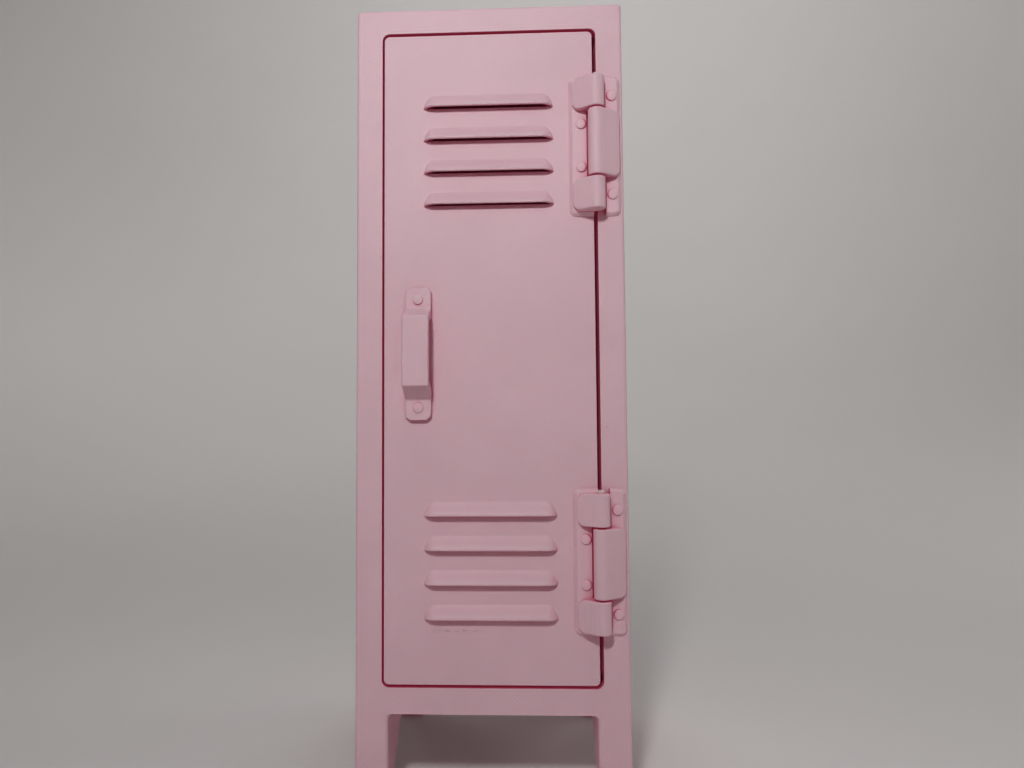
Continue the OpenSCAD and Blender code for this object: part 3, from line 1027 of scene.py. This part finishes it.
for level in ("upper", "lower"):
    finish_piece(door_leaf_piece(level), hinge_plastic, "door",
                 [f"{level}_door_leaf"])
    finish_piece(frame_leaf_piece(level), hinge_plastic, "cabinet",
                 [f"{level}_frame_leaf"])
    finish_piece(pin_piece(level), pin_plastic, "door", [f"{level}_hinge_pin"])

for node, paired, seat, body, slot in (
    ("door_leaf_rivets", True, FRONT - LEAF_T, "door", "hinge_plastic"),
    ("frame_leaf_rivets", True, FRONT - LEAF_T, "cabinet", "hinge_plastic"),
    ("handle_rivets", False, FRONT - FOOT_T, "door", "door_plastic"),
):
    heads = rivet_heads(f"{node}_printed", rivet_places(node, paired), seat)
    finish_piece(heads, trim_plastic, body, [node])

# ---------------------------------------------------------------- stage, light and camera

scene = bpy.context.scene
scene.view_settings.view_transform = "Standard"
scene.view_settings.look = "High Contrast"


def pale_surface():
    """Pale matt paper."""
    g = Graph("pale_paper")
    place = g.node("ShaderNodeTexCoord").outputs["Object"]
    fibre = g.noise(place, 900, 3)
    cloud = g.noise(place, 3, 2)
    tint = g.mix(cloud, (0.74, 0.715, 0.70, 1), (0.80, 0.785, 0.775, 1))
    bump = g.node("ShaderNodeBump", {"Height": fibre, "Strength": 0.08, "Distance": 0.05 * MM})
    shader = g.node("ShaderNodeBsdfPrincipled", {"Base Color": tint, "Normal": bump.outputs[0]})
    shader.inputs["Roughness"].default_value = 0.85
    shader.inputs["Specular IOR Level"].default_value = 0.2
    return g.finish(shader)


def stage_floor():
    """A round floor that sweeps up into a wall all round, well outside every view."""
    flat_r = 250
    sweep_r = 700
    wall_h = 1500
    flat_steps = 6
    sweep_steps = 12
    profile = [(0.001, 0.0)]
    profile += [(flat_r * k / flat_steps, 0.0) for k in range(1, flat_steps + 1)]
    for k in range(1, sweep_steps + 1):
        a = k / sweep_steps * pi / 2
        profile.append((flat_r + sweep_r * sin(a), sweep_r * (1 - cos(a))))
    profile.append((flat_r + sweep_r, wall_h))
    sides = 96
    bm = bmesh.new()
    rings = [
        [(r * cos(2 * pi * k / sides), r * sin(2 * pi * k / sides), h) for k in range(sides)]
        for r, h in profile
    ]
    loft(bm, rings, caps=False)
    floor = mesh_object("pale_floor", bm)
    floor.data.shade_smooth()
    floor.data.materials.append(pale_surface())
    floor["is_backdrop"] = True


def soft_light(name, place, aim, size, power):
    """A round soft light; place, aim and size are in millimetres, power in watts."""
    data = bpy.data.lights.new(name, "AREA")
    data.shape = "DISK"
    data.size = size * MM
    data.energy = power
    light = bpy.data.objects.new(name, data)
    light.location = Vector(place) * MM
    way = Vector(aim) - Vector(place)
    light.rotation_euler = way.to_track_quat("-Z", "Y").to_euler()
    light.visible_camera = False
    scene.collection.objects.link(light)


def round_light(name, place, size, power):
    """A soft ball of light that shines all ways, so that it leaves no edge on the backdrop."""
    data = bpy.data.lights.new(name, "POINT")
    data.shadow_soft_size = size / 2 * MM
    data.energy = power
    light = bpy.data.objects.new(name, data)
    light.location = Vector(place) * MM
    light.visible_camera = False
    scene.collection.objects.link(light)


stage_floor()
middle_of_body = Vector((0, 0, (BODY_Z + body_high.z) / 2))
key_place = (-19, FRONT - 160, BODY_Z + 148)
soft_light("key_light", key_place, middle_of_body, size=22, power=0.13)
soft_light("top_fill", (0, -260, 480), middle_of_body, size=380, power=0.11)
soft_light("right_fill", (420, 60, 260), middle_of_body, size=300, power=0.25)
round_light("back_fill", (-330, 340, 360), size=200, power=0.32)
soft_light("wall_light", (60, 300, 850), (50, 950, 350), size=500, power=2.0)

world = bpy.data.worlds.new("soft_room")
world.use_nodes = True
background = world.node_tree.nodes["Background"]
background.inputs["Color"].default_value = (0.95, 0.96, 1.0, 1)
background.inputs["Strength"].default_value = 0.022
scene.world = world

# The camera stands close in front of the door, a little right of the middle. Its turns are in
# degrees: tilt, roll and swing.
CAMERA_RIGHT = 6.02
CAMERA_AWAY = 103.4
CAMERA_UP = 39.84
CAMERA_TURNS = (93.056, 2.433, -0.527)
camera_data = bpy.data.cameras.new("camera")
camera_data.sensor_width = 36
camera_data.lens = 26.02
camera_data.shift_x = 0.0098
camera_data.clip_start = 1 * MM
camera = bpy.data.objects.new("camera", camera_data)
camera.location = Vector((CAMERA_RIGHT, FRONT - CAMERA_AWAY, BODY_Z + CAMERA_UP)) * MM
camera.rotation_mode = "ZYX"
camera.rotation_euler = [radians(turn) for turn in CAMERA_TURNS]
scene.collection.objects.link(camera)
scene.camera = camera

low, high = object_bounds()
